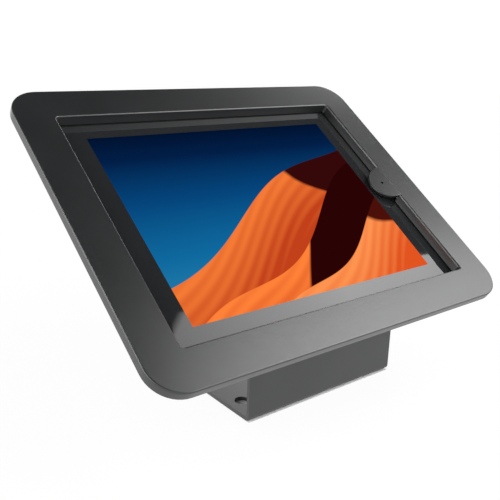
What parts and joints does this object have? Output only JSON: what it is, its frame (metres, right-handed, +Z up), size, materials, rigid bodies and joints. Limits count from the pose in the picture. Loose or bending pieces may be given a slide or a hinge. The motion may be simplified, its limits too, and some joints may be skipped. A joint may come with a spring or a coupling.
{
  "type": "tablet security kiosk stand",
  "caption": "Leaning desk stand that locks a tablet behind a hinged window frame, on a folded sheet bracket with bolt holes for the desk.",
  "frame": {"origin": "middle of the four desk holes, on the underside of the bracket's desk plate", "axes": "+X to the user's right along the long edge of the frame, +Y away from the user, +Z up from the desk"},
  "size_m": [0.28, 0.1927, 0.1813],
  "materials": {
    "frame_paint": "satin dark grey powder coat",
    "bracket_paint": "satin dark grey powder coat",
    "steel": "bright zinc plated steel",
    "lock_brass": "plain brass",
    "black_rubber": "matt black foam and rubber",
    "tablet_aluminium": "fine blasted aluminium",
    "screen_glass": "glossy black backed glass with a lit picture",
    "panel": "dark display module",
    "cell": "dark battery wrap",
    "board": "green circuit board",
    "button_black": "glossy black plastic"
  },
  "bodies": {
    "stand": {"mount_bracket": "bracket_paint", "bracket_screws": "steel", "bracket_nuts": "steel", "rear_tray": "frame_paint", "back_pad": "black_rubber", "corner_pads": "black_rubber", "hinge_pins": "steel", "lock_body": "steel", "lock_clip": "steel", "tablet_shell": "tablet_aluminium", "tablet_glass": "screen_glass", "tablet_display": "panel", "tablet_battery": "cell", "tablet_board": "board"},
    "door": {"front_frame": "frame_paint", "window_gasket": "black_rubber", "latch_keeper": "steel"},
    "lock": {"lock_plug": "lock_brass", "lock_cam": "steel", "cam_screw": "steel"},
    "home_key": {"home_button": "button_black"},
    "power_key": {"power_button": "button_black"},
    "volume_key": {"volume_rocker": "button_black"}
  },
  "joints": [
    {"name": "frame_hinge", "type": "hinge", "parent": "stand", "child": "door", "pos_m": [0, 0.09778, 0.17476], "axis": [-1, 0, 0], "range_deg": [0, 135]},
    {"name": "lock_turn", "type": "hinge", "parent": "stand", "child": "lock", "pos_m": [0.095, -0.08034, 0.05273], "axis": [0, 0.5736, -0.8192], "range_deg": [0, 180]},
    {"name": "home_press", "type": "slide", "parent": "stand", "child": "home_key", "axis": [0, 0.5736, -0.8192], "range_m": [0, 0.0004], "stiffness_N_per_m": 3000},
    {"name": "power_press", "type": "slide", "parent": "stand", "child": "power_key", "axis": [1, 0, 0], "range_m": [0, 0.0003], "stiffness_N_per_m": 3000},
    {"name": "volume_rock", "type": "hinge", "parent": "stand", "child": "volume_key", "pos_m": [-0.0846, 0.08145, 0.16085], "axis": [0, -0.5736, 0.8192], "range_deg": [-1.2, 1.2], "stiffness_Nm_per_rad": 0.4}
  ]
}
